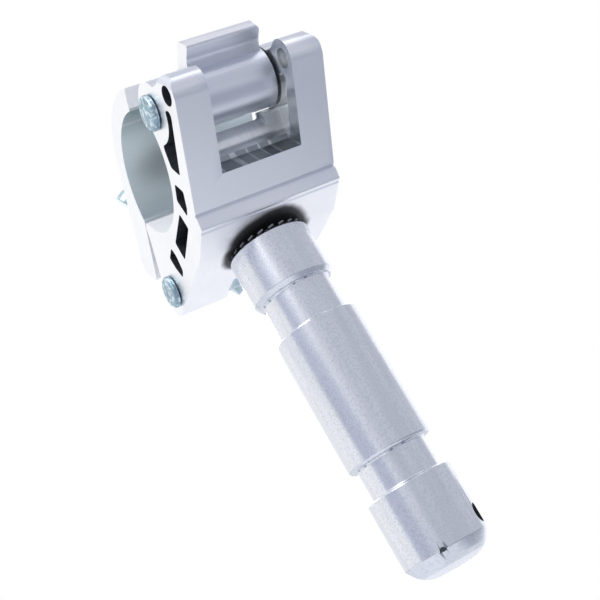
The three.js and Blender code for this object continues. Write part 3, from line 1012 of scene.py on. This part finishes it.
def plain(name, colour, glow=0.0):
    material = bpy.data.materials.new(name)
    material.use_nodes = True
    shader = material.node_tree.nodes["Principled BSDF"]
    shader.inputs["Base Color"].default_value = (*colour, 1)
    shader.inputs["Roughness"].default_value = 0.9
    shader.inputs["Emission Color"].default_value = (*colour, 1)
    shader.inputs["Emission Strength"].default_value = glow
    return material


def card(name, centre, width, height, material):
    """A flat card that faces the object, seen only in its reflections."""
    bm = bmesh.new()
    bmesh.ops.create_grid(bm, x_segments=1, y_segments=1, size=0.5)
    bm.transform(Matrix.Diagonal((width, height, 1, 1)))
    middle = Vector(centre)
    bm.transform(Matrix.Translation(middle) @ middle.to_track_quat("Z", "Y").to_matrix().to_4x4())
    mesh = bpy.data.meshes.new(name)
    bm.to_mesh(mesh)
    bm.free()
    mesh.materials.append(material)
    made = bpy.data.objects.new(name, mesh)
    bpy.context.scene.collection.objects.link(made)
    made.visible_camera = False
    made.visible_diffuse = False
    made.visible_shadow = False


def make_floor():
    bm = bmesh.new()
    bmesh.ops.create_grid(bm, x_segments=1, y_segments=1, size=FLOOR_SIZE / 2)
    mesh = bpy.data.meshes.new("floor")
    bm.to_mesh(mesh)
    bm.free()
    mesh.materials.append(plain("pale floor", (0.72, 0.735, 0.77)))
    floor = bpy.data.objects.new("floor", mesh)
    floor.location.z = FLOOR_Z
    bpy.context.scene.collection.objects.link(floor)


def make_light():
    """A pale room, brighter toward one side, with a white backdrop behind the object."""
    bright_side = Vector((-0.62, 0.74, 0.25)).normalized()
    dim, bright = (0.62, 0.64, 0.72, 1), (1.04, 1.05, 1.06, 1)
    world = bpy.data.worlds.new("studio")
    bpy.context.scene.world = world
    world.use_nodes = True
    tree = world.node_tree
    sky = tree.nodes["Background"]
    place = tree.nodes.new("ShaderNodeTexCoord").outputs["Generated"]
    toward = tree.nodes.new("ShaderNodeVectorMath")
    toward.operation = "DOT_PRODUCT"
    toward.inputs[1].default_value = bright_side
    tree.links.new(place, toward.inputs[0])
    ramp = tree.nodes.new("ShaderNodeMapRange")
    ramp.interpolation_type = "SMOOTHSTEP"
    ramp.inputs["From Min"].default_value = -0.6
    ramp.inputs["From Max"].default_value = 0.8
    tree.links.new(toward.outputs["Value"], ramp.inputs["Value"])
    blend = tree.nodes.new("ShaderNodeMix")
    blend.data_type = "RGBA"
    blend.inputs[6].default_value = dim
    blend.inputs[7].default_value = bright
    tree.links.new(ramp.outputs[0], blend.inputs["Factor"])
    seen = tree.nodes.new("ShaderNodeLightPath").outputs["Is Camera Ray"]
    backdrop = tree.nodes.new("ShaderNodeMix")
    backdrop.data_type = "RGBA"
    backdrop.inputs[7].default_value = (1, 1, 1, 1)
    tree.links.new(seen, backdrop.inputs["Factor"])
    tree.links.new(blend.outputs[2], backdrop.inputs[6])
    tree.links.new(backdrop.outputs[2], sky.inputs["Color"])


def soft_lamp(name, direction, distance, size, power):
    data = bpy.data.lights.new(name, "AREA")
    data.shape = "DISK"
    data.size = size
    data.energy = power
    lamp = bpy.data.objects.new(name, data)
    facing = Vector(direction).normalized()
    lamp.location = facing * distance
    lamp.rotation_mode = "QUATERNION"
    lamp.rotation_quaternion = facing.to_track_quat("Z", "Y")
    bpy.context.scene.collection.objects.link(lamp)


def make_camera():
    """Below the object and to its left, turned so that the object leans in the frame."""
    place = Vector((-0.14185, -0.31015, -0.15884))
    back = Vector((-0.4008, -0.8767, -0.2660)).normalized()
    right = Vector((0.8408, -0.2367, -0.4868))
    right = (right - back * right.dot(back)).normalized()
    up = back.cross(right)
    data = bpy.data.cameras.new("camera")
    data.lens, data.sensor_width = 67.0, 36.0
    data.clip_start, data.clip_end = 0.01, 20
    camera = bpy.data.objects.new("camera", data)
    turn = Matrix((right, up, back)).transposed().to_4x4()
    camera.matrix_world = Matrix.Translation(place) @ turn
    bpy.context.scene.collection.objects.link(camera)
    bpy.context.scene.camera = camera


make_floor()
make_light()
soft_lamp("key", (-0.7, -0.5, 0.7), distance=1.2, size=0.7, power=7)
soft_lamp("back", (0.3, 0.9, 0.5), distance=1.4, size=0.9, power=7)
card("left_card", (-0.76, -0.25, 0.04), 0.62, 1.0, plain("lavender card", (0.50, 0.52, 0.60), 0.12))
card("back_card", (0.66, 0.46, 0.08), 0.5, 1.0, plain("white card", (0.9, 0.9, 0.9), 0.4))
card("top_card", (0.32, -0.49, 0.54), 0.4, 0.26, plain("bright card", (0.9, 0.9, 0.9), 0.95))
card("low_card", (0.16, -0.20, -0.40), 1.4, 0.5, plain("grey card", (0.30, 0.32, 0.37)))
make_camera()
bpy.context.scene.view_settings.view_transform = "Standard"
